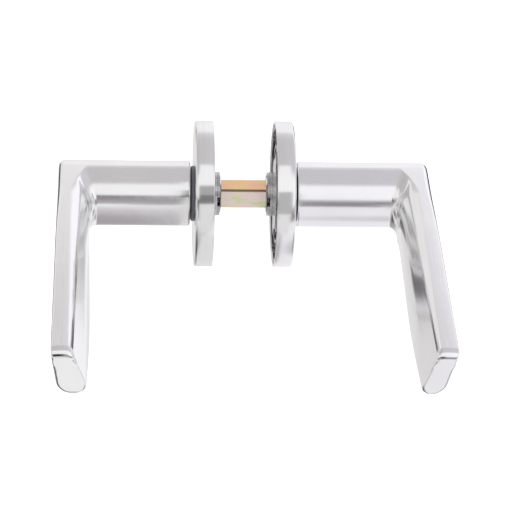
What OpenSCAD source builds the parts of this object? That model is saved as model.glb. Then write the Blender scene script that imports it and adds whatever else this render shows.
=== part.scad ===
// Pair of door lever handles on round roses, joined by a square spindle.
// Millimetres. The origin is on the spindle's axis, midway between the backs of the roses.
// +X runs along the spindle to the right handle, the grips point along -Y, and +Z is up.
// The right side is modelled; the left side is its mirror image.

/* [Spindle] */
// Width of the square spindle across its flats
spindle_width = 8; // [7:0.5:10]
// Radius of the spindle's long corners
spindle_corner = 0.8; // [0.2:0.1:1.5]
// Where the spindle ends inside the left lever
spindle_left_end = 46; // [40:1:52]
// Where the spindle ends inside the right lever
spindle_right_end = 55; // [45:1:56]
// Chamfer on the spindle's ends
spindle_chamfer = 0.8; // [0:0.1:1.5]

/* [Rose] */
// Distance between the backs of the two roses
rose_gap = 23; // [20:1:30]
// Outside diameter of a rose
rose_diameter = 55; // [50:0.5:60]
// Thickness of a rose, from the door to its outer face
rose_thickness = 7; // [6.5:0.1:9]
// Wall thickness of the cover
cover_wall = 1.05; // [0.8:0.05:1.5]
// Rounding of the cover's outer edge
cover_round = 1; // [0.3:0.1:2]
// Hole in the middle of the cover, radius
cover_hole = 9.3; // [9.1:0.1:10]

/* [Rose base] */
// Outside radius of the base
base_radius = 26.3; // [25:0.05:26.4]
// Thickness of the base's front plate
base_plate = 1.05; // [0.8:0.05:1.5]
// Thickness of the base's rim wall
base_rim = 1.7; // [1:0.1:3]
// Radius of the bore that holds the bush
base_bore = 9; // [8.5:0.1:10]
// Outside radius of the hub tube
hub_radius = 11; // [10:0.1:12]
// Inside radius of the wall around the drive plate
pocket_radius = 17.4; // [17:0.1:19]
// Thickness of that wall
pocket_wall = 1.3; // [0.8:0.1:2]
// Distance between the centres of the two fixing holes
fixing_spacing = 38; // [36:0.5:40]
// Radius of a fixing hole
fixing_hole = 2.6; // [2:0.1:3]
// Radius of the boss around a fixing hole
fixing_boss = 4.2; // [3.6:0.1:4.4]
// Number of radial ribs
rib_count = 14; // [8:1:20]
// Thickness of a rib
rib_width = 1.1; // [0.8:0.1:2]
// Width of a stop, in degrees
stop_width = 14; // [10:1:16]

/* [Lever] */
// Radius of the round neck
neck_radius = 12.25; // [10:0.05:14]
// Distance from the spindle's middle to the lever's outer face
lever_reach_x = 69.35; // [65:0.05:75]
// Distance from the spindle's axis to the tip of the grip
lever_length = 117; // [100:1:130]
// Gap between the bush and the neck
neck_gap = 0.3; // [0.2:0.05:0.5]
// Rounding of the neck's end beside the rose
neck_end_round = 0.8; // [0.3:0.1:1.5]
// Rounding of the elbow's outer edge
elbow_round = 2.2; // [0.5:0.1:3]
// Width of the flat strip along the top of the grip
strip_width = 6.9; // [5:0.1:9]
// Depth of the grip at its inner ridge
ridge_depth = 11.5; // [10:0.1:13]
// Height of the top strip above the spindle's axis, at the tip
tip_top = 9.8; // [7:0.1:12]
// Height of the grip at the tip
tip_height = 18; // [14:0.5:20]
// Radius of the rounded lower side at the tip
tip_round = 5; // [3:0.1:5]
// Rounding of the end face's edges
tip_edge = 1.2; // [0.5:0.1:2]
// Radius of the shank that passes through the rose
shank_radius = 7; // [6.5:0.1:7.5]
// Half the distance across the shank's two flats
shank_flat = 6; // [5.6:0.1:6.4]
// Width of the square socket for the spindle
socket_width = 8.16; // [8.04:0.02:8.3]
// Where the socket ends inside the neck
socket_end = 58; // [56:1:62]

/* [Small parts] */
// Radius of the bush's visible ring
bush_radius = 10.4; // [10:0.1:12]
// Thickness of the bush's visible ring
bush_flange = 1.2; // [1:0.1:2]
// Radial running clearance of the shank in the bush
bush_clearance = 0.06; // [0.02:0.01:0.1]
// Outside radius of the drive plate
cam_radius = 13.4; // [12:0.1:14]
// Thickness of the drive plate
cam_plate = 1; // [0.8:0.1:1.5]
// Radius of the boss behind the rose: drive plate's hub, washer and retaining ring
boss_radius = 8.25; // [8:0.05:9]
// Outer radius of the drive plate's ears
ear_radius = 16.6; // [16:0.1:16.8]
// Width of an ear, in degrees
ear_width = 24; // [18:1:26]
// How far the lever turns down, in degrees
turn_range = 45; // [30:1:45]
// Angle left free at each stop, in degrees
stop_free = 2; // [1:0.5:3]
// Wire diameter of the return spring
spring_wire = 1.1; // [0.8:0.1:1.2]
// Mean radius of the return spring
spring_radius = 13.5; // [13:0.1:14]
// Rise of the return spring for each turn
spring_pitch = 1.2; // [1.1:0.05:1.4]
// Width of the gap in the retaining ring
ring_gap = 3.6; // [2:0.1:5]
// Diameter of the grub screw
grub_diameter = 5; // [4:1:6]
// Length of the grub screw
grub_length = 7; // [6:1:8]
// Distance from the spindle's middle to the grub screw
grub_x = 30; // [27:1:40]
// Width of the grub screw's hex socket across its flats
grub_hex = 2.5; // [2:0.5:3]

/* [Hidden] */
// Positions along the spindle, measured out from its middle
rose_back = rose_gap / 2;
rose_front = rose_back + rose_thickness;
base_front = rose_front - cover_wall - 0.05;
base_inside = base_front - base_plate;
bush_front = rose_front + bush_flange;
neck_start = bush_front + neck_gap;
shank_end = 8.4;
ring_back = 8.9;
ring_front = 9.9;
washer_back = 9.95;
washer_front = 10.7;
hub_back = 10.75;
cam_back = 11.8;
cam_front = cam_back + cam_plate;
thrust_back = cam_front + 0.3;
thrust_front = thrust_back + 0.7;
hub_tube_back = thrust_front + 0.05;
// Angles in the rose's plane, from +Y towards +Z
stop_ear_angle = 90;
spring_ear_angle = 270;
first_stop = stop_ear_angle - ear_width / 2 - stop_free - stop_width;
second_stop = stop_ear_angle + ear_width / 2 + turn_range + stop_free;
leg_fixed_angle = first_stop - 2.6;
leg_moving_angle = spring_ear_angle + ear_width / 2 + 2.6;
spring_sweep = leg_moving_angle - leg_fixed_angle + 360;
spring_start = base_inside - spring_wire / 2 - 0.12;
ring_gap_angle = 171;
tip_bottom = tip_top - tip_height;
tip_centre_u = 8.2;
fine = 96;

// ---------------------------------------------------------------- helpers

// Turns a shape drawn on Z so that its Z runs along +X, its X along +Y and its Y along +Z.
module along_x() {
    rotate([90, 0, 90])
        children();
}

// A ring about Z, drawn between two heights.
module ring(r_in, r_out, z_low, z_high) {
    translate([0, 0, z_low])
        difference() {
            cylinder(r = r_out, h = z_high - z_low, $fn = fine);
            translate([0, 0, -1])
                cylinder(r = r_in, h = z_high - z_low + 2, $fn = fine);
        }
}

// A flat wedge from the centre, for cutting a sector; from and to are less than 180 degrees apart.
module wedge(from, to, z_low, z_high) {
    far = 60;
    mid = (from + to) / 2;
    translate([0, 0, z_low])
        linear_extrude(height = z_high - z_low)
            polygon([
                [0, 0],
                [far * cos(from), far * sin(from)],
                [1.5 * far * cos(mid), 1.5 * far * sin(mid)],
                [far * cos(to), far * sin(to)]
            ]);
}

// A block that fills one sector of a ring.
module sector(from, to, r_in, r_out, z_low, z_high) {
    intersection() {
        ring(r_in, r_out, z_low, z_high);
        wedge(from, to, z_low - 1, z_high + 1);
    }
}

// A square with round corners.
module round_square(width, corner) {
    inner = width / 2 - corner;
    square([width, 2 * inner], center = true);
    square([2 * inner, width], center = true);
    for (x = [-inner, inner]) {
        for (y = [-inner, inner]) {
            translate([x, y])
                circle(r = corner, $fn = 32);
        }
    }
}

// ---------------------------------------------------------------- shapes of the right side

// Neck and shank, one turned body.
module neck_profile() {
    polygon([
        [0, shank_end],
        [shank_radius - 0.4, shank_end],
        [shank_radius, shank_end + 0.4],
        [shank_radius, neck_start],
        [neck_radius - neck_end_round, neck_start],
        [neck_radius - neck_end_round, neck_start + neck_end_round],
        [neck_radius, neck_start + neck_end_round],
        [neck_radius, lever_reach_x - elbow_round],
        [neck_radius - elbow_round, lever_reach_x - elbow_round],
        [neck_radius - elbow_round, lever_reach_x],
        [0, lever_reach_x]
    ]);
    translate([neck_radius - neck_end_round, neck_start + neck_end_round])
        circle(r = neck_end_round, $fn = 32);
    translate([neck_radius - elbow_round, lever_reach_x - elbow_round])
        circle(r = elbow_round, $fn = 32);
}

// Section of the grip at the tip: a flat strip on top, leaning sides and a round lower side.
// The first coordinate is the depth inwards from the outer face, the second is the height.
module tip_section(inset) {
    hull() {
        translate([inset, tip_top - inset - 0.02])
            square([strip_width - 2 * inset, 0.02]);
        translate([tip_centre_u, tip_bottom + tip_round])
            circle(r = tip_round - inset, $fn = 40);
    }
}

// Puts a section drawn in depth and height across the grip at a distance from the axis.
module across_grip(distance) {
    translate([lever_reach_x, -distance, 0])
        rotate([90, 0, 0])
            mirror([1, 0, 0])
                linear_extrude(height = 0.02)
                    children();
}

// The grip: one smooth body from the elbow's disc to the tip's section.
module grip() {
    disc = neck_radius - 0.15;
    hull() {
        translate([lever_reach_x, 0, 0])
            rotate([0, -90, 0]) {
                cylinder(r = disc - elbow_round, h = strip_width - 0.1, $fn = 64);
                translate([0, 0, 0.45])
                    cylinder(r = disc - 0.45, h = strip_width - 0.55, $fn = 64);
                translate([0, 0, elbow_round])
                    cylinder(r = disc, h = strip_width - elbow_round, $fn = 64);
            }
        translate([lever_reach_x, 0, -3.2])
            rotate([0, -90, 0])
                cylinder(r = 5.4, h = ridge_depth, $fn = 48);
        across_grip(lever_length - tip_edge)
            tip_section(0);
        across_grip(lever_length - 0.35 * tip_edge)
            tip_section(0.25 * tip_edge);
        across_grip(lever_length - 0.02)
            tip_section(0.8 * tip_edge);
    }
}

// Cuts that make two flats on the shank.
module shank_flats() {
    for (side = [-1, 1]) {
        translate([-10, side > 0 ? shank_flat : -shank_flat - 4, shank_end - 1])
            cube([20, 4, cam_front + 0.2 - shank_end + 1]);
    }
}

module lever_shape() {
    difference() {
        union() {
            along_x()
                rotate_extrude($fn = fine)
                    neck_profile();
            grip();
        }
        along_x() {
            translate([0, 0, shank_end - 1])
                linear_extrude(height = socket_end - shank_end + 1)
                    round_square(socket_width, spindle_corner - 0.1);
            shank_flats();
            ring(shank_radius - 0.8, shank_radius + 2, ring_back - 0.05, ring_front + 0.05);
        }
        translate([grub_x, 0, -neck_radius - 2])
            cylinder(d = grub_diameter + 0.06, h = neck_radius - 1, $fn = 48);
    }
}

module cover_profile() {
    r_out = rose_diameter / 2;
    polygon([
        [r_out - cover_wall, rose_back],
        [r_out, rose_back],
        [r_out, rose_front - cover_round],
        [r_out - cover_round, rose_front - cover_round],
        [r_out - cover_round, rose_front],
        [cover_hole, rose_front],
        [cover_hole, rose_front - cover_wall],
        [r_out - cover_wall, rose_front - cover_wall]
    ]);
    intersection() {
        translate([r_out - cover_round, rose_front - cover_round])
            circle(r = cover_round, $fn = 48);
        translate([r_out - cover_round, rose_front - cover_round])
            square([cover_round, cover_round]);
    }
}

module cover_shape() {
    along_x()
        rotate_extrude($fn = 128)
            cover_profile();
}

module base_ribs() {
    for (i = [0 : rib_count - 1]) {
        rotate([0, 0, (i + 0.5) * 360 / rib_count])
            translate([pocket_radius + 0.6, -rib_width / 2, rose_back + 1.1])
                cube([base_radius - pocket_radius - 1.4, rib_width, base_front - rose_back - 1.6]);
    }
}

module base_shape() {
    along_x()
        difference() {
            union() {
                ring(base_bore, base_radius, base_inside, base_front);
                ring(base_radius - base_rim, base_radius, rose_back + 0.5, base_front);
                ring(base_bore, hub_radius, hub_tube_back, base_front);
                ring(pocket_radius, pocket_radius + pocket_wall, rose_back + 0.8, base_front);
                sector(first_stop, first_stop + stop_width, 14.9, pocket_radius + 0.5,
                    rose_back + 0.8, base_front);
                sector(second_stop, second_stop + stop_width, 14.9, pocket_radius + 0.5,
                    rose_back + 0.8, base_front);
                base_ribs();
                for (side = [-1, 1]) {
                    translate([side * fixing_spacing / 2, 0, rose_back])
                        cylinder(r = fixing_boss, h = base_front - rose_back, $fn = 48);
                }
            }
            for (side = [-1, 1]) {
                translate([side * fixing_spacing / 2, 0, rose_back - 1])
                    cylinder(r = fixing_hole, h = rose_thickness + 2, $fn = 48);
            }
            for (notch = [30, 150, 270]) {
                rotate([0, 0, notch])
                    translate([pocket_radius + pocket_wall + 2, -3, rose_back - 1])
                        cube([10, 6, 3.2]);
            }
        }
}

module bush_profile() {
    r_in = shank_radius + bush_clearance;
    polygon([
        [r_in, hub_tube_back + 0.3],
        [base_bore - 0.02, hub_tube_back + 0.3],
        [base_bore - 0.02, rose_front + 0.02],
        [bush_radius, rose_front + 0.02],
        [bush_radius, bush_front - 0.3],
        [bush_radius - 0.3, bush_front],
        [r_in, bush_front]
    ]);
}

module bush_shape() {
    along_x()
        rotate_extrude($fn = fine)
            bush_profile();
}

module thrust_shape() {
    along_x()
        ring(shank_radius + 0.35, hub_radius - 0.4, thrust_back, thrust_front);
}

module drive_shape() {
    along_x()
        difference() {
            union() {
                ring(3, cam_radius, cam_back, cam_front);
                ring(3, boss_radius, hub_back, cam_front);
                sector(stop_ear_angle - ear_width / 2, stop_ear_angle + ear_width / 2,
                    cam_radius - 0.5, ear_radius, cam_back, cam_front);
                sector(spring_ear_angle - ear_width / 2, spring_ear_angle + ear_width / 2,
                    cam_radius - 0.5, ear_radius, cam_back, cam_front);
                sector(stop_ear_angle - ear_width / 2, stop_ear_angle + ear_width / 2,
                    14.9, ear_radius, cam_back, cam_front + 2);
                sector(spring_ear_angle - ear_width / 2, spring_ear_angle + ear_width / 2,
                    14.9, ear_radius, cam_back, cam_front + 2);
            }
            intersection() {
                translate([0, 0, hub_back - 1])
                    cylinder(r = shank_radius + 0.03, h = 4, $fn = fine);
                translate([-10, -shank_flat - 0.03, hub_back - 2])
                    cube([20, 2 * shank_flat + 0.06, 6]);
            }
        }
}

// Centre line of the return spring: a fixed leg, a coil that rises towards the door, a moving leg.
spring_steps = 64;
spring_path = concat(
    [for (r = [16.9, 15.8, 14.8]) [
        r * cos(leg_fixed_angle), r * sin(leg_fixed_angle), spring_start
    ]],
    [for (i = [0 : spring_steps]) let (a = leg_fixed_angle + 3.5 + (spring_sweep - 7) * i / spring_steps) [
        spring_radius * cos(a), spring_radius * sin(a),
        spring_start - spring_pitch * (a - leg_fixed_angle) / 360
    ]],
    [for (r = [14.8, 15.8, 16.9]) [
        r * cos(leg_moving_angle), r * sin(leg_moving_angle),
        spring_start - spring_pitch * spring_sweep / 360
    ]]
);

function unit(v) = v / norm(v);

// A round wire swept along a path that stays nearly parallel to the rose.
module wire(path, r, sides) {
    last = len(path) - 1;
    tangents = [for (i = [0 : last]) unit(path[min(i + 1, last)] - path[max(i - 1, 0)])];
    sideways = [for (t = tangents) unit(cross(t, [0, 0, 1]))];
    upwards = [for (i = [0 : last]) cross(sideways[i], tangents[i])];
    points = [for (i = [0 : last]) for (k = [0 : sides - 1])
        path[i] + r * cos(360 * k / sides) * sideways[i] + r * sin(360 * k / sides) * upwards[i]];
    walls = [for (i = [0 : last - 1]) for (k = [0 : sides - 1]) [
        i * sides + k, i * sides + (k + 1) % sides,
        (i + 1) * sides + (k + 1) % sides, (i + 1) * sides + k
    ]];
    start_cap = [[for (k = [sides - 1 : -1 : 0]) k]];
    end_cap = [[for (k = [0 : sides - 1]) last * sides + k]];
    polyhedron(points = points, faces = concat(walls, start_cap, end_cap), convexity = 6);
}

module spring_shape() {
    along_x()
        wire(spring_path, spring_wire / 2, 12);
}

module washer_shape() {
    along_x()
        ring(shank_radius + 0.15, boss_radius, washer_back, washer_front);
}

module retaining_shape() {
    along_x()
        difference() {
            ring(shank_radius - 0.75, boss_radius - 0.05, ring_back, ring_front);
            rotate([0, 0, ring_gap_angle])
                translate([2, -ring_gap / 2, ring_back - 1])
                    cube([10, ring_gap, 3]);
        }
}

module grub_profile() {
    r = grub_diameter / 2;
    polygon([
        [0, 0],
        [r - 0.9, 0],
        [r, 0.9],
        [r, grub_length - 0.3],
        [r - 0.3, grub_length],
        [0, grub_length]
    ]);
}

module grub_shape() {
    translate([grub_x, 0, -spindle_width / 2 - 0.3])
        mirror([0, 0, 1])
            difference() {
                rotate_extrude($fn = 48)
                    grub_profile();
                translate([0, 0, grub_length - 2.6])
                    rotate([0, 0, 30])
                        cylinder(d = grub_hex / cos(30), h = 4, $fn = 6);
            }
}

// ---------------------------------------------------------------- one module for each piece

module left() {
    mirror([1, 0, 0])
        children();
}

module spindle() {
    tip = spindle_width / 2 + 1.2;
    color([0.85, 0.74, 0.52])
        along_x()
            intersection() {
                translate([0, 0, -spindle_left_end])
                    linear_extrude(height = spindle_left_end + spindle_right_end)
                        round_square(spindle_width, spindle_corner);
                rotate_extrude($fn = fine)
                    polygon([
                        [0, -spindle_left_end],
                        [tip - spindle_chamfer, -spindle_left_end],
                        [tip + 1, -spindle_left_end + spindle_chamfer + 1],
                        [tip + 1, spindle_right_end - spindle_chamfer - 1],
                        [tip - spindle_chamfer, spindle_right_end],
                        [0, spindle_right_end]
                    ]);
            }
}

module lever_right() {
    color([0.75, 0.75, 0.76])
        lever_shape();
}

module lever_left() {
    color([0.75, 0.75, 0.76])
        left()
            lever_shape();
}

module rose_cover_right() {
    color([0.72, 0.72, 0.73])
        cover_shape();
}

module rose_cover_left() {
    color([0.72, 0.72, 0.73])
        left()
            cover_shape();
}

module rose_base_right() {
    color([0.42, 0.42, 0.44])
        base_shape();
}

module rose_base_left() {
    color([0.42, 0.42, 0.44])
        left()
            base_shape();
}

module neck_bush_right() {
    color([0.13, 0.13, 0.14])
        bush_shape();
}

module neck_bush_left() {
    color([0.13, 0.13, 0.14])
        left()
            bush_shape();
}

module thrust_washer_right() {
    color([0.9, 0.9, 0.86])
        thrust_shape();
}

module thrust_washer_left() {
    color([0.9, 0.9, 0.86])
        left()
            thrust_shape();
}

module drive_plate_right() {
    color([0.6, 0.6, 0.62])
        drive_shape();
}

module drive_plate_left() {
    color([0.6, 0.6, 0.62])
        left()
            drive_shape();
}

module return_spring_right() {
    color([0.5, 0.5, 0.52])
        spring_shape();
}

module return_spring_left() {
    color([0.5, 0.5, 0.52])
        left()
            spring_shape();
}

module back_washer_right() {
    color([0.66, 0.66, 0.68])
        washer_shape();
}

module back_washer_left() {
    color([0.66, 0.66, 0.68])
        left()
            washer_shape();
}

module retaining_ring_right() {
    color([0.55, 0.55, 0.56])
        retaining_shape();
}

module retaining_ring_left() {
    color([0.55, 0.55, 0.56])
        left()
            retaining_shape();
}

module grub_screw_right() {
    color([0.2, 0.2, 0.21])
        grub_shape();
}

module grub_screw_left() {
    color([0.2, 0.2, 0.21])
        left()
            grub_shape();
}

spindle();
lever_left();
lever_right();
rose_cover_left();
rose_cover_right();
rose_base_left();
rose_base_right();
neck_bush_left();
neck_bush_right();
thrust_washer_left();
thrust_washer_right();
drive_plate_left();
drive_plate_right();
return_spring_left();
return_spring_right();
back_washer_left();
back_washer_right();
retaining_ring_left();
retaining_ring_right();
grub_screw_left();
grub_screw_right();
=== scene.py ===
import math
from functools import cache

import bmesh
import bpy
import numpy as np
from mathutils import Matrix, Vector


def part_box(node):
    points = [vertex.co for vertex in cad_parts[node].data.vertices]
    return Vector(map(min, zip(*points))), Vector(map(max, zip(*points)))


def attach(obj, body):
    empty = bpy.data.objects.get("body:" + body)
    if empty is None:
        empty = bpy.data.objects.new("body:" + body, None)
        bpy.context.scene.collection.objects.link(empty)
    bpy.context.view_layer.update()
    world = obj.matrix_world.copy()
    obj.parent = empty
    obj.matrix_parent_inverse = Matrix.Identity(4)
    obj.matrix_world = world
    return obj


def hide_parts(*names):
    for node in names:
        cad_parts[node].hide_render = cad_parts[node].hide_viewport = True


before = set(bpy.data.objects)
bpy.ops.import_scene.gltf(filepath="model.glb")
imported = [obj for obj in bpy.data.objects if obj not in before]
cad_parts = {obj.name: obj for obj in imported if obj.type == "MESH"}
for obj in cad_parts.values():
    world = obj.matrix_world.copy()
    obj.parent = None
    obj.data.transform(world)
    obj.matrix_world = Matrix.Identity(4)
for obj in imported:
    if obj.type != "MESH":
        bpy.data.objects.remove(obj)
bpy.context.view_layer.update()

MM = 0.001
SIDES = {"right": 1, "left": -1}


# ---------------------------------------------------------------- sizes from the frame, in mm

def box_mm(node):
    """A CAD node's lowest and highest corner."""
    low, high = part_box(node)
    return np.array(low) / MM, np.array(high) / MM


LEVER_LOW, LEVER_HIGH = box_mm("lever_right")
COVER_LOW, COVER_HIGH = box_mm("rose_cover_right")
GRUB_LOW, GRUB_HIGH = box_mm("grub_screw_right")
RING_LOW, RING_HIGH = box_mm("retaining_ring_right")
BUSH_HIGH = box_mm("neck_bush_right")[1]
SPINDLE_HIGH = box_mm("spindle")[1]
DRIVE_HIGH = box_mm("drive_plate_right")[1]

OUTER_X = LEVER_HIGH[0]            # outer face of the lever
SHANK_X = LEVER_LOW[0]             # end of the shank behind the rose
NECK_R = LEVER_HIGH[2]             # radius of the round neck
LENGTH = 117.0                     # from the spindle's axis to the grip's tip
NECK_X = BUSH_HIGH[0] + 0.3        # start of the neck, just clear of the bush
SOCKET_HALF = SPINDLE_HIGH[2] + 0.08    # half width of the square socket, just clear of the spindle
SOCKET_X = SPINDLE_HIGH[0] + 3.0   # the socket's blind end
SOCKET_CORNER = 0.7                # radius in the socket's corners
GRUB_X = (GRUB_LOW[0] + GRUB_HIGH[0]) / 2
GRUB_R = (GRUB_HIGH[0] - GRUB_LOW[0]) / 2 + 0.05
GRUB_TOP = -2                      # the grub screw's hole ends inside the socket, at this height
HOLE_EDGE = 0.3

# Shape of the grip, as in the CAD part. A pair of values is for the elbow and for the tip.
STRIP = 6.9                        # width of the flat strip on top
STRIP_ELBOW = 0.6                  # how much wider it is at the elbow
CROWN = 0.25                       # fall of the strip's edges below its middle
SLOPE = (33, 20.0)                 # slope of the inner face below the strip, in degrees
RIDGE = 11.4                       # depth at the inner ridge, near the elbow
RIDGE_GROWTH = 2.2                 # and how much deeper it is at the tip
RIDGE_BLEND = (2.0, 2.4)           # how softly the slope turns into the inner ridge
TIP_TOP = 9.8                      # height of the strip above the axis at the tip
TIP_BOTTOM = -8.2                  # lowest point of the tip
LEAN = {"right": 0.25, "left": 0.14}    # how far the outer face leans in at the tip, per unit of height
FLARE = 0.4                        # how far the outer face bows out at the tip

# Roundings of the lever's edges
NOSE_R = 3.2                       # from the strip into the end face
NOSE_SET = 2.5                     # lower down, the nose is set this far out, which leaves a flat end face
CAP_EDGE = 1.0                     # from that flat end face into the sides
ELBOW_R = 2.4                      # from the outer face into the neck and the elbow
STRIP_R_LOSS = 1.7                 # how much sharper that edge becomes along the strip
LOWER_R_GAIN = 2.2                 # and how much rounder along the underside
INNER_R = (2.6, 1.5)               # from the strip into the slope
INNER_LOWER_R = 4.4                # from the underside into the inner side
ELBOW_FILLET = 3.0                 # between the neck and the inner side
NECK_EDGE = 0.8                    # at the neck's end, beside the rose

SHANK_R = 7.0
SHANK_EDGE = 0.4
SHANK_FLAT = 6.0                   # half the distance between the shank's two flats
FLAT_END = DRIVE_HIGH[0] + 0.2     # the flats end just in front of the drive plate
GROOVE_DEPTH = 0.8
GROOVE_GAP = 0.05                  # beside the retaining ring
OVERLAP = 2                        # how far the shank is drawn into the neck


# ---------------------------------------------------------------- the lever as a distance field

def soft_max(a, b, r):
    """Intersection of two distances, with an edge of radius r."""
    r = np.maximum(r, 1e-6)
    return np.minimum(-r, np.maximum(a, b)) + np.hypot(np.maximum(r + a, 0), np.maximum(r + b, 0))


def crowned_max(a, b, blend):
    """Intersection of two planes that meet at a shallow angle, as one long curve."""
    gap = np.maximum(blend - np.abs(a - b), 0)
    return np.maximum(a, b) + gap * gap / (4 * blend)


def soft_min(a, b, r):
    """Union of two distances, with a fillet of radius r."""
    return np.maximum(r, np.minimum(a, b)) - np.hypot(np.maximum(r - a, 0), np.maximum(r - b, 0))


def ramp(value, start, end):
    """0 at start and 1 at end, smoothly."""
    t = np.clip((value - start) / (end - start), 0, 1)
    return t * t * (3 - 2 * t)


def tangent(height):
    """Unit normal, in (y, z), of the line from the top of the neck's circle to the tip at a height."""
    reach = math.hypot(LENGTH, height)
    angle = math.acos(NECK_R / reach) - math.atan2(LENGTH, height)
    return math.sin(angle), math.cos(angle)


TOP_N = tangent(TIP_TOP)
BOTTOM_N = tangent(-TIP_BOTTOM)


def from_elbow_to_tip(pair, along):
    """A value of the grip that changes evenly along it."""
    return np.interp(along, (0, 1), pair)


def grip_distance(x, y, z, full_lean):
    """Signed distance to the neck and grip, without the shank and holes."""
    radial = np.hypot(y, z) - NECK_R
    depth = OUTER_X - x
    along = ramp(-y, 0, 1) * np.clip(-y / LENGTH, 0, 1)    # 0 at the elbow and 1 at the tip
    low = ramp(-z, -5, 4)                                  # 0 along the top and 1 along the underside
    flat_end = ramp(-z, -6, -1.5)                          # 0 in the nose and 1 on the end face below it

    crown = CROWN * ramp(-y, 12, 40) * np.clip(2 * depth / STRIP - 1, -1, 1) ** 2
    top_plane = TOP_N[0] * y + TOP_N[1] * z - NECK_R + crown
    bottom_plane = BOTTOM_N[0] * y - BOTTOM_N[1] * z - NECK_R
    top = np.where(y > TOP_N[0] * NECK_R, radial, top_plane)
    bottom = np.where(y > BOTTOM_N[0] * NECK_R, radial, bottom_plane)
    cap = -y - LENGTH
    side = np.where(z > 0.5, soft_max(top, cap - NOSE_SET * flat_end, NOSE_R), bottom)

    lean = full_lean * along
    outer = (-lean * top_plane - depth - FLARE * along) / np.sqrt(1 + lean * lean)
    sharper = (1 - low) * STRIP_R_LOSS * ramp(-y, 10, 45)
    rounder = low * LOWER_R_GAIN * ramp(-y, 10, 90)
    slab = soft_max(outer, side, ELBOW_R - sharper + rounder)

    tilt = np.radians(from_elbow_to_tip(SLOPE, along))
    strip = STRIP + STRIP_ELBOW * (1 - along)
    slope = (depth - strip) * np.cos(tilt) + top_plane * np.sin(tilt)
    ridge = depth - RIDGE - RIDGE_GROWTH * along
    inner = crowned_max(slope, ridge, from_elbow_to_tip(RIDGE_BLEND, along))
    body = soft_min(inner, radial, ELBOW_FILLET)

    upper_edge = (1 - low) * from_elbow_to_tip(INNER_R, along) * ramp(-y, 5, 18)
    lower_edge = low * INNER_LOWER_R * ramp(-y, 7, 30)
    grip = soft_max(slab, body, upper_edge + lower_edge)
    grip = soft_max(grip, cap, CAP_EDGE * flat_end)
    return soft_max(grip, NECK_X - x, NECK_EDGE)


def shank_distance(x, y, z):
    """Signed distance to the shank: a rod with two flats in the drive plate and a groove for the ring."""
    radius = np.hypot(y, z)
    rod = soft_max(radius - SHANK_R, SHANK_X - x, SHANK_EDGE)
    flats = np.where(x < FLAT_END, np.abs(z) - SHANK_FLAT, -1.0)
    shank = np.maximum(np.maximum(rod, flats), x - NECK_X - OVERLAP)
    between_walls = np.maximum(RING_LOW[0] - GROOVE_GAP - x, x - RING_HIGH[0] - GROOVE_GAP)
    groove = np.maximum(between_walls, SHANK_R - GROOVE_DEPTH - radius)
    return np.maximum(shank, -groove)


def socket_distance(x, y, z):
    """Signed distance to the square hole that takes the spindle."""
    qy = np.abs(y) - SOCKET_HALF + SOCKET_CORNER
    qz = np.abs(z) - SOCKET_HALF + SOCKET_CORNER
    outside = np.hypot(np.maximum(qy, 0), np.maximum(qz, 0))
    square = outside + np.minimum(np.maximum(qy, qz), 0) - SOCKET_CORNER
    return np.maximum(square, x - SOCKET_X)


def lever_distance(p, full_lean):
    """Signed distance, in mm, to the surface of a lever, drawn as the right one."""
    x, y, z = p.T
    solid = np.minimum(grip_distance(x, y, z, full_lean), shank_distance(x, y, z))
    lever = np.maximum(solid, -socket_distance(x, y, z))
    grub_hole = np.maximum(np.hypot(x - GRUB_X, y) - GRUB_R, z - GRUB_TOP)
    return soft_max(lever, -grub_hole, HOLE_EDGE)


def gradient(field, p, step=0.01):
    """The field's slope at each point."""
    g = np.empty_like(p)
    for axis in range(3):
        d = np.zeros(3)
        d[axis] = step
        g[:, axis] = (field(p + d) - field(p - d)) / (2 * step)
    return g


def pull_to_surface(field, p, rounds):
    """Each point moves to where the field is zero, by at most 0.8 mm a round."""
    for _ in range(rounds):
        g = gradient(field, p)
        size = np.maximum((g * g).sum(1), 0.05)
        move = (field(p) / size)[:, None] * g
        length = np.maximum(np.linalg.norm(move, axis=1), 1e-9)
        p = p - move * np.minimum(1, 0.8 / length)[:, None]
    return p


def relax(p, edges, amount):
    """Each point moves part of the way to the middle of its neighbours."""
    total = np.zeros_like(p)
    count = np.zeros(len(p))
    for a, b in ((0, 1), (1, 0)):
        np.add.at(total, edges[:, a], p[edges[:, b]])
        np.add.at(count, edges[:, a], 1)
    return p + amount * (total / count[:, None] - p)


# ---------------------------------------------------------------- mesh helpers

def new_object(name, mesh):
    """An object in the scene, round a mesh."""
    obj = bpy.data.objects.new(name, mesh)
    bpy.context.scene.collection.objects.link(obj)
    return obj


def build(name, verts, faces, sharp=35):
    """A mesh object from points in mm; edges sharper than the angle are shaded as edges."""
    mesh = bpy.data.meshes.new(name)
    bm = bmesh.new()
    made = [bm.verts.new(Vector(v) * MM) for v in verts]
    for f in faces:
        bm.faces.new([made[i] for i in f])
    bmesh.ops.remove_doubles(bm, verts=bm.verts, dist=1e-7)
    bmesh.ops.recalc_face_normals(bm, faces=bm.faces)
    limit = math.radians(sharp)
    for f in bm.faces:
        f.smooth = True
    for e in bm.edges:
        e.smooth = len(e.link_faces) == 2 and e.calc_face_angle(0) < limit
    bm.to_mesh(mesh)
    bm.free()
    return new_object(name, mesh)


def hull_points(bm, points):
    """Add the convex hull of some points to a bmesh."""
    verts = [bm.verts.new(Vector(q)) for q in points]
    bmesh.ops.convex_hull(bm, input=verts)


def prism(name, points):
    """A convex solid round some points in mm."""
    mesh = bpy.data.meshes.new(name)
    bm = bmesh.new()
    hull_points(bm, points)
    bm.to_mesh(mesh)
    bm.free()
    return new_object(name, mesh)


def circle_x(x, r, count=48):
    """Points in mm round a circle across the spindle's axis."""
    turns = np.linspace(0, 2 * math.pi, count, endpoint=False)
    return [(x, r * math.cos(a), r * math.sin(a)) for a in turns]


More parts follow.
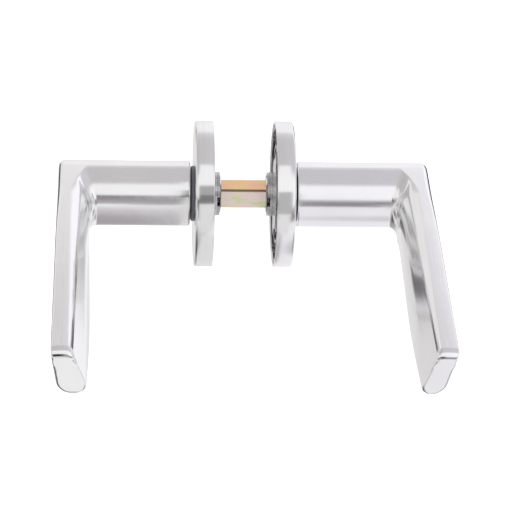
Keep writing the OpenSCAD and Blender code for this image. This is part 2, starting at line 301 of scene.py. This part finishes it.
def skin(shapes, holes, voxel):
    """One even mesh, in mm, over the union of convex shapes less some holes."""
    mesh = bpy.data.meshes.new("rough")
    bm = bmesh.new()
    for points in shapes:
        part = bmesh.new()
        hull_points(part, points)
        temp = bpy.data.meshes.new("part")
        part.to_mesh(temp)
        part.free()
        bm.from_mesh(temp)
        bpy.data.meshes.remove(temp)
    bm.to_mesh(mesh)
    bm.free()
    obj = new_object("rough", mesh)
    first = obj.modifiers.new("join", "REMESH")
    first.mode = "VOXEL"
    first.voxel_size = voxel
    cutters = [prism(f"cutter{i}", points) for i, points in enumerate(holes)]
    for cutter in cutters:
        cut = obj.modifiers.new("cut", "BOOLEAN")
        cut.operation = "DIFFERENCE"
        cut.object = cutter
    last = obj.modifiers.new("even", "REMESH")
    last.mode = "VOXEL"
    last.voxel_size = voxel
    depsgraph = bpy.context.evaluated_depsgraph_get()
    even = bpy.data.meshes.new_from_object(obj.evaluated_get(depsgraph))
    for o in [obj, *cutters]:
        bpy.data.objects.remove(o)
    verts = np.empty(len(even.vertices) * 3)
    even.vertices.foreach_get("co", verts)
    edges = np.empty(len(even.edges) * 2, dtype=np.int64)
    even.edges.foreach_get("vertices", edges)
    faces = [tuple(f.vertices) for f in even.polygons]
    bpy.data.meshes.remove(even)
    return verts.reshape(-1, 3), edges.reshape(-1, 2), faces


def grip_section(y, low, high, lean):
    """A rough outline of the grip at one place along it."""
    outline = (
        (0, high),
        (STRIP, high),
        (RIDGE, high - 11),
        (RIDGE, low + 3),
        (RIDGE - 3, low),
        (lean * (high - low) + 2, low),
        (lean * (high - low - 3), low + 3),
    )
    return [(OUTER_X - depth, y, z) for depth, z in outline]


def rough_lever(full_lean):
    """The lever's convex parts and its holes, each as a few points."""
    elbow = grip_section(-1, -NECK_R, NECK_R, 0)
    tip = grip_section(-LENGTH, TIP_BOTTOM, TIP_TOP, full_lean)
    neck = circle_x(NECK_X, NECK_R) + circle_x(OUTER_X, NECK_R)
    shank = circle_x(SHANK_X, SHANK_R) + circle_x(NECK_X + 1, SHANK_R)
    walls = (-SOCKET_HALF, SOCKET_HALF)
    socket = [(x, y, z) for x in (SHANK_X - 3, SOCKET_X) for y in walls for z in walls]
    heights = (-NECK_R - 3, GRUB_TOP)
    grub = [(GRUB_X + v, w, z) for z in heights for _, v, w in circle_x(0, GRUB_R, 24)]
    return [elbow + tip, neck, shank], [socket, grub]


def lever_mesh(full_lean):
    """Points, unit normals and faces of a lever, drawn as the right one."""

    def field(q):
        return lever_distance(q, full_lean)

    voxel = 0.42
    solids, holes = rough_lever(full_lean)
    p, edges, faces = skin(solids, holes, voxel)
    p = pull_to_surface(field, p, 6)
    for _ in range(3):
        p = pull_to_surface(field, relax(p, edges, 0.5), 3)
    p = pull_to_surface(field, p, 3)
    normals = gradient(field, p)
    normals /= np.maximum(np.linalg.norm(normals, axis=1), 1e-9)[:, None]
    return p, normals, faces


def place_lever(side):
    """The finished lever of one side, in place of the CAD one."""
    points, normals, faces = lever_mesh(LEAN[side])
    flip = np.array([SIDES[side], 1, 1])
    mesh = bpy.data.meshes.new(f"lever_{side}_casting")
    turned = faces if SIDES[side] > 0 else [f[::-1] for f in faces]
    mesh.from_pydata((points * flip * MM).tolist(), [], turned)
    mesh.polygons.foreach_set("use_smooth", [True] * len(mesh.polygons))
    mesh.normals_split_custom_set_from_vertices((normals * flip).tolist())
    obj = new_object(mesh.name, mesh)
    obj.data.materials.append(satin_aluminium(grip=True))
    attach(obj, f"handle_{side}")
    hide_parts(f"lever_{side}")


# ---------------------------------------------------------------- materials

def shader(name):
    """A new material, its nodes, its links and its Principled shader."""
    mat = bpy.data.materials.new(name)
    mat.use_nodes = True
    nodes = mat.node_tree.nodes
    return mat, nodes, mat.node_tree.links, nodes["Principled BSDF"]


def feed(links, source, socket):
    """Give a socket another node's output, a colour or a number."""
    if isinstance(source, bpy.types.NodeSocket):
        links.new(source, socket)
    elif isinstance(source, tuple):
        socket.default_value = (*source, 1)
    else:
        socket.default_value = source


def map_range(nodes, links, source, start, end, low=0.0, high=1.0, interpolation="LINEAR"):
    """A value's stretch from start to end, spread from low to high."""
    node = nodes.new("ShaderNodeMapRange")
    node.interpolation_type = interpolation
    node.inputs["From Min"].default_value = start
    node.inputs["From Max"].default_value = end
    node.inputs["To Min"].default_value = low
    node.inputs["To Max"].default_value = high
    links.new(source, node.inputs["Value"])
    return node.outputs["Result"]


def mixed(nodes, links, factor, first, second):
    """A mix of two colours."""
    node = nodes.new("ShaderNodeMixRGB")
    links.new(factor, node.inputs[0])
    feed(links, first, node.inputs[1])
    feed(links, second, node.inputs[2])
    return node.outputs[0]


def calculated(nodes, links, operation, first, second):
    """One step of arithmetic."""
    node = nodes.new("ShaderNodeMath")
    node.operation = operation
    feed(links, first, node.inputs[0])
    feed(links, second, node.inputs[1])
    return node.outputs[0]


def split_position(nodes, links):
    """The object coordinates, whole and as X, Y and Z."""
    coords = nodes.new("ShaderNodeTexCoord")
    split = nodes.new("ShaderNodeSeparateXYZ")
    links.new(coords.outputs["Object"], split.inputs[0])
    return coords.outputs["Object"], split.outputs


def stretched_noise(nodes, links, scale, detail, rough):
    """Noise on object coordinates, drawn out by a different scale on each axis."""
    coords = nodes.new("ShaderNodeTexCoord")
    mapping = nodes.new("ShaderNodeMapping")
    mapping.inputs["Scale"].default_value = scale
    noise = nodes.new("ShaderNodeTexNoise")
    noise.inputs["Scale"].default_value = 1.0
    noise.inputs["Detail"].default_value = detail
    noise.inputs["Roughness"].default_value = rough
    links.new(coords.outputs["Object"], mapping.inputs["Vector"])
    links.new(mapping.outputs["Vector"], noise.inputs["Vector"])
    return noise.outputs["Fac"]


def spread(nodes, links, noise, low, high):
    """A noise, which stays mostly near its middle, spread between two numbers."""
    return map_range(nodes, links, noise, 0.25, 0.75, low, high)


def bump(nodes, links, bsdf, height, strength, distance):
    """Relief on a shader's surface."""
    node = nodes.new("ShaderNodeBump")
    node.inputs["Strength"].default_value = strength
    node.inputs["Distance"].default_value = distance
    links.new(height, node.inputs["Height"])
    links.new(node.outputs["Normal"], bsdf.inputs["Normal"])


@cache
def satin_aluminium(grip=False):
    """Fine satin: circular brushing on turned faces, lengthwise brushing on the grip."""
    mat, nodes, links, bsdf = shader("satin_grip" if grip else "satin_turned")
    bsdf.inputs["Metallic"].default_value = 1.0
    cross = 2600 if grip else 90
    fine = stretched_noise(nodes, links, (2600, 45, cross), 5.0, 0.7)
    cloud = stretched_noise(nodes, links, (60, 40, 60), 3.0, 0.5)
    fine_part = spread(nodes, links, fine, 0, 0.6)
    cloud_part = spread(nodes, links, cloud, 0, 0.4)
    streaks = calculated(nodes, links, "ADD", fine_part, cloud_part)
    colour = mixed(nodes, links, streaks, (0.82, 0.816, 0.82), (0.94, 0.937, 0.94))
    links.new(colour, bsdf.inputs["Base Color"])
    links.new(spread(nodes, links, fine, 0.11, 0.19), bsdf.inputs["Roughness"])
    wave = stretched_noise(nodes, links, (90, 60, 60), 3.0, 0.5)
    bump(nodes, links, bsdf, wave, 0.6, 0.0001)
    return mat


def speckled(nodes, links, bsdf, noise, colour, rough, colour_range, rough_range):
    """Colour and roughness that both follow one noise, each between two shares of its own value."""
    dark, light = [tuple(min(1, c * share) for c in colour) for share in colour_range]
    shade = mixed(nodes, links, spread(nodes, links, noise, 0, 1), dark, light)
    links.new(shade, bsdf.inputs["Base Color"])
    low, high = [rough * share for share in rough_range]
    links.new(spread(nodes, links, noise, low, high), bsdf.inputs["Roughness"])


def plain_metal(name, colour, rough, grain, strength=0.15):
    """Bare metal with an even grain."""
    mat, nodes, links, bsdf = shader(name)
    bsdf.inputs["Metallic"].default_value = 1.0
    noise = stretched_noise(nodes, links, (grain, grain, grain), 5.0, 0.6)
    speckled(nodes, links, bsdf, noise, colour, rough, (0.82, 1.12), (0.8, 1.25))
    bump(nodes, links, bsdf, noise, strength, 0.00005)
    return mat


def moulded(name, colour, rough):
    """Moulded plastic."""
    mat, nodes, links, bsdf = shader(name)
    noise = stretched_noise(nodes, links, (2500, 2500, 2500), 3.0, 0.5)
    speckled(nodes, links, bsdf, noise, colour, rough, (0.85, 1.1), (0.85, 1.15))
    bump(nodes, links, bsdf, noise, 0.2, 0.00003)
    return mat


def clouds(nodes, links, noise, stops):
    """A colour ramp over noise."""
    node = nodes.new("ShaderNodeValToRGB")
    elements = node.color_ramp.elements
    for i, (position, colour) in enumerate((stops[0], stops[-1], *stops[1:-1])):
        element = elements[i] if i < 2 else elements.new(position)
        element.position = position
        element.color = (*colour, 1)
    links.new(noise, node.inputs["Fac"])
    return node.outputs["Color"]


# Colours of the yellow passivation, against the noise's value. The hues are the coating's own, but the
# split by face is painted light for how each face catches the light: orange on the top, paler pink and
# green on the sides.
ZINC_TOP = (
    (0.36, (0.82, 0.66, 0.30)),
    (0.47, (0.92, 0.58, 0.33)),
    (0.58, (0.93, 0.52, 0.42)),
    (0.68, (0.90, 0.58, 0.34)),
)
ZINC_SIDES = (
    (0.36, (0.72, 0.80, 0.45)),
    (0.46, (0.88, 0.80, 0.62)),
    (0.56, (0.92, 0.74, 0.76)),
    (0.66, (0.86, 0.76, 0.60)),
)
# Painted shade: the dark that the rounded front corner reflects, painted into its colour
ZINC_PAINTED_CORNER_SHADE = (0.22, 0.18, 0.13)


def yellow_zinc():
    """Yellow passivated zinc: orange on top and pink and green beside it, with a painted dark reflection
    along the rounded front corner. Which face shows which colours is painted light.
    """
    mat, nodes, links, bsdf = shader("yellow_zinc")
    bsdf.inputs["Metallic"].default_value = 1.0
    noise = stretched_noise(nodes, links, (110, 300, 300), 5.0, 0.65)
    top = clouds(nodes, links, noise, ZINC_TOP)
    sides = clouds(nodes, links, noise, ZINC_SIDES)
    _, xyz = split_position(nodes, links)
    half = SPINDLE_HIGH[2] * MM
    # Painted light: the top face takes the orange set and the sides the paler set, by which way each face
    # points
    is_top = map_range(nodes, links, xyz["Z"], 0.86 * half, 0.96 * half)
    faces = mixed(nodes, links, is_top, sides, top)
    # Painted shade: a dark band painted along the front corner, standing in for the dark that its rounding
    # reflects
    corner = calculated(nodes, links, "SUBTRACT", xyz["Z"], xyz["Y"])
    is_corner = map_range(nodes, links, corner, 1.80 * half, 1.87 * half)
    links.new(mixed(nodes, links, is_corner, faces, ZINC_PAINTED_CORNER_SHADE), bsdf.inputs["Base Color"])
    grain = stretched_noise(nodes, links, (300, 2600, 2600), 4.0, 0.6)
    links.new(spread(nodes, links, grain, 0.26, 0.42), bsdf.inputs["Roughness"])
    bump(nodes, links, bsdf, grain, 0.15, 0.00003)
    return mat


# ---------------------------------------------------------------- turned pieces

def turn(profile, segments):
    """A closed ring profile, as (x, radius) points, turned about the spindle's axis."""
    n = len(profile)
    verts = []
    for i in range(segments):
        a = 2 * math.pi * i / segments
        verts += [(x, r * math.cos(a), r * math.sin(a)) for x, r in profile]
    faces = []
    for i in range(segments):
        j = (i + 1) % segments
        for k in range(n):
            m = (k + 1) % n
            faces.append((i * n + k, i * n + m, j * n + m, j * n + k))
    return verts, faces


def rounded(points, steps=5):
    """A closed outline from (x, r, corner radius) points, with each corner drawn as an arc."""
    out = []
    n = len(points)
    for i, (*place, radius) in enumerate(points):
        p = np.array(place, float)
        a = np.array(points[i - 1][:2], float) - p
        b = np.array(points[(i + 1) % n][:2], float) - p
        a /= np.linalg.norm(a)
        b /= np.linalg.norm(b)
        half = math.acos(np.clip(a @ b, -1, 1)) / 2
        start = p + a * radius / math.tan(half)
        end = p + b * radius / math.tan(half)
        centre = p + (a + b) / np.linalg.norm(a + b) * radius / math.sin(half)
        first = math.atan2(*(start - centre)[::-1])
        last = math.atan2(*(end - centre)[::-1])
        sweep = (last - first + math.pi) % (2 * math.pi) - math.pi
        for k in range(steps + 1):
            angle = first + sweep * k / steps
            out.append((centre[0] + radius * math.cos(angle), centre[1] + radius * math.sin(angle)))
    return out


COVER_WALL = 1.05
COVER_HOLE_R = 9.3


def cover(side):
    """The rose's cap: a shallow cup with a rounded outer edge and a hole for the neck's bush."""
    back, front, r = COVER_LOW[0], COVER_HIGH[0], COVER_HIGH[2]
    inner_front = front - COVER_WALL
    inner_r = r - COVER_WALL
    profile = rounded([
        (back, r, 0.2),
        (front, r, 1.0),
        (front, COVER_HOLE_R, 0.3),
        (inner_front, COVER_HOLE_R, 0.2),
        (inner_front, inner_r, 0.6),
        (back, inner_r, 0.2),
    ])
    verts, faces = turn(profile, 224)
    verts = [(x * SIDES[side], y, z) for x, y, z in verts]
    obj = build(f"rose_cover_{side}_cap", verts, faces)
    obj.data.materials.append(satin_aluminium())
    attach(obj, f"rose_set_{side}")
    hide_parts(f"rose_cover_{side}")


def bevelled(node, material, width):
    """A CAD node keeps its shape and gets its material and fine rounded edges, with their width in mm."""
    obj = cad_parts[node]
    obj.data.materials.clear()
    obj.data.materials.append(material)
    edge = obj.modifiers.new("edges", "BEVEL")
    edge.width = width * MM
    edge.segments = 2
    edge.limit_method = "ANGLE"
    edge.angle_limit = math.radians(40)
    edge.harden_normals = True


# ---------------------------------------------------------------- the object

def cad_finishes():
    """Material and edge width of each kind of CAD node that both sides have."""
    casting = plain_metal("grey_casting", (0.36, 0.36, 0.38), 0.30, 420, 0.9)
    steel = plain_metal("plain_steel", (0.68, 0.67, 0.68), 0.25, 500, 0.4)
    spring_steel = plain_metal("spring_steel", (0.55, 0.53, 0.52), 0.25, 700, 0.3)
    black_steel = plain_metal("black_steel", (0.07, 0.07, 0.075), 0.35, 1500)
    dark_nylon = moulded("dark_nylon", (0.15, 0.155, 0.18), 0.4)
    pale_nylon = moulded("pale_nylon", (0.75, 0.73, 0.66), 0.5)
    return {
        "rose_base": (casting, 0.15),
        "neck_bush": (dark_nylon, 0.15),
        "thrust_washer": (pale_nylon, 0.08),
        "drive_plate": (steel, 0.1),
        "back_washer": (steel, 0.06),
        "retaining_ring": (spring_steel, 0.08),
        "return_spring": (spring_steel, 0.02),
        "grub_screw": (black_steel, 0.06),
    }


finishes = cad_finishes()
for side in SIDES:
    place_lever(side)
    cover(side)
    for kind, (material, width) in finishes.items():
        bevelled(f"{kind}_{side}", material, width)
bevelled("spindle", yellow_zinc(), 0.1)


# ---------------------------------------------------------------- floor and soft light

FLOOR_Z = -0.11
FLOOR_REACH = 6.0


def stage_plane(name, corners, colour, strength=0.0):
    """A flat piece of the set, which can glow."""
    mesh = bpy.data.meshes.new(name)
    mesh.from_pydata(corners, [], [tuple(range(len(corners)))])
    obj = new_object(name, mesh)
    mat, nodes, links, bsdf = shader(name)
    bsdf.inputs["Base Color"].default_value = (*colour, 1)
    bsdf.inputs["Roughness"].default_value = 0.9
    bsdf.inputs["Specular IOR Level"].default_value = 0.0
    bsdf.inputs["Emission Color"].default_value = (1, 1, 1, 1)
    bsdf.inputs["Emission Strength"].default_value = strength
    obj.data.materials.append(mat)
    return obj


def pale_floor():
    """A wide, nearly white floor under the object."""
    r = FLOOR_REACH
    corners = [(x, y, FLOOR_Z) for x, y in ((-r, -r), (r, -r), (r, r), (-r, r))]
    floor = stage_plane("floor", corners, (0.93, 0.93, 0.93), 0.35)
    floor.visible_glossy = False


def softbox(name, place, size, power):
    """A large soft light, aimed at the object, that leaves no reflection of its own."""
    light = bpy.data.lights.new(name, "AREA")
    light.shape = "RECTANGLE"
    light.size, light.size_y = size
    light.energy = power
    obj = bpy.data.objects.new(name, light)
    bpy.context.scene.collection.objects.link(obj)
    obj.location = place
    obj.rotation_euler = (-Vector(place)).to_track_quat("-Z", "Y").to_euler()
    obj.visible_camera = False
    obj.visible_glossy = False


def white_world():
    """Even white light from all round."""
    world = bpy.data.worlds.new("studio")
    bpy.context.scene.world = world
    world.use_nodes = True
    background = world.node_tree.nodes["Background"]
    background.inputs["Color"].default_value = (1, 1, 1, 1)
    background.inputs["Strength"].default_value = 0.8


# ---------------------------------------------------------------- what the metal reflects: a light tent

TENT_R = 1.6
TENT_HALF_WIDTH = 2.6
TENT_STRENGTH = 1.15
TENT_SEAM = (0.017, 0.027)         # along X, where the left half's bands turn into the right half's
TENT_FALL = (-0.7, 0.7)            # along X, where the tent brightens
TENT_FALL_LEVELS = (0.87, 1.07)    # from this to this
# How much red, how much less green in the dark, and how much blue
LEFT_TINT = (1.0, 0.08, 0.98)
RIGHT_TINT = (1.0, 0.07, 1.03)

# Angle above the front horizon, in degrees, and brightness of the tent there, on its two halves.
# Behind the object both halves are alike.
BACK_BANDS = ((70, 0.55), (128, 0.55), (142, 0.68), (147, 0.88), (180, 0.86))
LEFT_BANDS = (
    (-180, 0.80), (-140, 0.76), (-112, 0.40), (-85, 0.36), (-60, 0.41), (-35, 0.54), (-20, 0.72),
    (-12, 0.78), (-7, 0.50), (0, 0.42), (14, 0.20), (21, 0.15), (26, 0.89), (58, 0.89), *BACK_BANDS,
)
RIGHT_BANDS = (
    (-180, 0.82), (-150, 0.82), (-30, 0.80), (-14, 0.78), (-10, 0.28), (0, 0.24), (8, 0.42),
    (16, 0.88), (58, 0.88), *BACK_BANDS,
)

# Soft shades low down on each side: middle, distances where each starts and ends to fade, and
# how much light is left in its middle
SHADES = {
    "back_left": ((-1.08, 1.58, -0.16), (0.28, 0.44), 0.06),
    "back_right": ((0.98, 1.57, -0.26), (0.32, 0.46), 0.03),
    "front_left": ((-1.00, -0.70, -1.42), (0.55, 0.95), 0.30),
    "front_right": ((1.00, -0.70, -1.42), (0.55, 0.95), 0.40),
}


def band_ramp(nodes, links, place, bands, tint):
    """Brightness against angle. The darker a band, the more it loses green."""
    node = nodes.new("ShaderNodeValToRGB")
    stops = node.color_ramp.elements
    red, green_loss, blue = tint
    for i, (degrees, level) in enumerate((bands[0], bands[-1], *bands[1:-1])):
        position = (degrees + 180) / 360
        stop = stops[i] if i < 2 else stops.new(position)
        stop.position = position
        green = 1 - green_loss * (1 - level)
        stop.color = (level * red, level * green, level * blue, 1)
    links.new(place, node.inputs["Fac"])
    return node.outputs["Color"]


def shade_factor(nodes, links, coords, centre, fade, depth):
    """The light that a soft shade leaves at each place."""
    away = nodes.new("ShaderNodeVectorMath")
    away.operation = "DISTANCE"
    away.inputs[1].default_value = centre
    links.new(coords, away.inputs[0])
    return map_range(nodes, links, away.outputs["Value"], *fade, depth)


def scaled(nodes, links, colour, factor):
    """A colour made brighter or darker."""
    node = nodes.new("ShaderNodeVectorMath")
    node.operation = "SCALE"
    links.new(colour, node.inputs[0])
    links.new(factor, node.inputs["Scale"])
    return node.outputs[0]


def tent_colour(nodes, links):
    """Bands round the spindle's axis, different on the two halves, less the soft shades."""
    coords, xyz = split_position(nodes, links)
    forwards = calculated(nodes, links, "MULTIPLY", xyz["Y"], -1)
    angle = calculated(nodes, links, "ARCTAN2", xyz["Z"], forwards)
    place = map_range(nodes, links, angle, -math.pi, math.pi)
    left = band_ramp(nodes, links, place, LEFT_BANDS, LEFT_TINT)
    right = band_ramp(nodes, links, place, RIGHT_BANDS, RIGHT_TINT)
    half = map_range(nodes, links, xyz["X"], *TENT_SEAM, interpolation="SMOOTHSTEP")
    colour = mixed(nodes, links, half, left, right)
    fall = map_range(nodes, links, xyz["X"], *TENT_FALL, *TENT_FALL_LEVELS)
    colour = scaled(nodes, links, colour, fall)
    for centre, fade, depth in SHADES.values():
        colour = scaled(nodes, links, colour, shade_factor(nodes, links, coords, centre, fade, depth))
    return colour


def tent_mesh(segments=72):
    """An open tube round the spindle's axis."""
    mesh = bpy.data.meshes.new("light_tent")
    verts = []
    faces = []
    for i in range(segments):
        a = 2 * math.pi * i / segments
        y, z = TENT_R * math.cos(a), TENT_R * math.sin(a)
        verts += [(-TENT_HALF_WIDTH, y, z), (TENT_HALF_WIDTH, y, z)]
        j = (i + 1) % segments
        faces.append((2 * i, 2 * i + 1, 2 * j + 1, 2 * j))
    mesh.from_pydata(verts, [], faces)
    return mesh


def light_tent():
    """A white tent round the object, brighter and darker in bands, that only the metal reflects."""
    obj = new_object("light_tent", tent_mesh())
    mat = bpy.data.materials.new("light_tent")
    mat.use_nodes = True
    nodes = mat.node_tree.nodes
    links = mat.node_tree.links
    nodes.clear()
    glow = nodes.new("ShaderNodeEmission")
    glow.inputs["Strength"].default_value = TENT_STRENGTH
    out = nodes.new("ShaderNodeOutputMaterial")
    links.new(tent_colour(nodes, links), glow.inputs["Color"])
    links.new(glow.outputs[0], out.inputs["Surface"])
    obj.data.materials.append(mat)
    obj.visible_camera = False
    obj.visible_diffuse = False
    obj.visible_shadow = False
    obj.visible_transmission = False


# ---------------------------------------------------------------- what the metal reflects: small cards

FLAG_AWAY = 60                     # from the spindle's axis to the roses' cards, in mm
FLAG_PITCH = 32                    # above the front horizon, in degrees
RIM_SIDES = {"left": (-21.5, -3), "right": (8, 23.5)}
# The cards below one another in front of each rose: lower and upper end in mm, and brightness
RIM_CARDS = (
    ("left", "high", (10, 46), 0.98),
    ("left", "grey", (-2, 10), 0.42),
    ("left", "dark", (-13.5, -2), 0.20),
    ("left", "low", (-95, -13.5), 0.80),
    ("right", "high", (2.5, 46), 1.0),
    ("right", "grey", (-28, 2.5), 0.50),
    ("right", "low", (-95, -28), 0.82),
)


def flag(name, middle, size, tilt, level):
    """A card that only reflections see."""
    w, h = size[0] / 2, size[1] / 2
    obj = stage_plane(name, [(-w, 0, -h), (w, 0, -h), (w, 0, h), (-w, 0, h)], (0, 0, 0), level)
    obj.location = middle
    obj.rotation_euler = (math.radians(tilt), 0, 0)
    obj.visible_camera = False
    obj.visible_diffuse = False
    obj.visible_shadow = False


def rim_flag(name, sides, ends, level):
    """A card in front of a rose's rim, facing it, from its two sides in X and its two ends, in mm."""
    pitch = math.radians(FLAG_PITCH)
    up = (ends[0] + ends[1]) / 2
    middle = (
        (sides[0] + sides[1]) / 2,
        -FLAG_AWAY * math.cos(pitch) + up * math.sin(pitch),
        FLAG_AWAY * math.sin(pitch) + up * math.cos(pitch),
    )
    size = ((sides[1] - sides[0]) * MM, (ends[1] - ends[0]) * MM)
    flag(name, [v * MM for v in middle], size, -FLAG_PITCH, level)


def reflection_cards():
    """All the cards round the object."""
    for side, name, ends, level in RIM_CARDS:
        rim_flag(f"{side}_rim_{name}", RIM_SIDES[side], ends, level)
    flag("left_rim_below", (-0.008, -0.02, -0.075), (0.029, 0.22), -90, 0.80)
    # Beyond the tips: white below for the left end face, and a dark strip for the shade under each nose
    flag("left_tip_light", (-0.060, -0.160, -0.030), (0.034, 0.030), 30, 0.95)
    flag("left_tip_dark", (-0.0690, -0.140, 0.0115), (0.0070, 0.010), 0, 0.0)
    flag("right_tip_dark", (0.0645, -0.140, 0.0120), (0.0040, 0.008), 0, 0.02)


# ---------------------------------------------------------------- camera

FOCAL = 190.6                      # mm on a 36 mm wide sensor
DISTANCE = 1.022                   # metres from the spindle's middle
SIDEWAYS = 0.00494                 # and how far the camera is moved across its view, in metres
UPWARDS = -0.02345
AZIMUTH = math.radians(-3.6)
PITCH = math.radians(33.2)         # how far it looks down on the object
ROLL = math.radians(2.4)


def place_camera():
    """A long lens that looks down on the object's front."""
    back = Vector((
        math.sin(AZIMUTH) * math.cos(PITCH),
        -math.cos(AZIMUTH) * math.cos(PITCH),
        math.sin(PITCH),
    ))
    level = Vector((0, 0, 1)).cross(back).normalized()
    right = math.cos(ROLL) * level + math.sin(ROLL) * back.cross(level)
    up = back.cross(right)
    camera = bpy.data.cameras.new("camera")
    camera.lens = FOCAL
    camera.sensor_width = 36
    camera.clip_start = 0.01
    obj = bpy.data.objects.new("camera", camera)
    place = back * DISTANCE + right * SIDEWAYS + up * UPWARDS
    facing = Matrix((right, up, back)).transposed().to_4x4()
    obj.matrix_world = Matrix.Translation(place) @ facing
    bpy.context.scene.collection.objects.link(obj)
    bpy.context.scene.camera = obj


pale_floor()
light_tent()
reflection_cards()
softbox("front_box", (0, -1.2, 1.1), (1.6, 0.8), 6)
softbox("back_box", (0, 1.4, 0.9), (1.6, 0.8), 5)
white_world()
bpy.context.scene.view_settings.view_transform = "Standard"
place_camera()
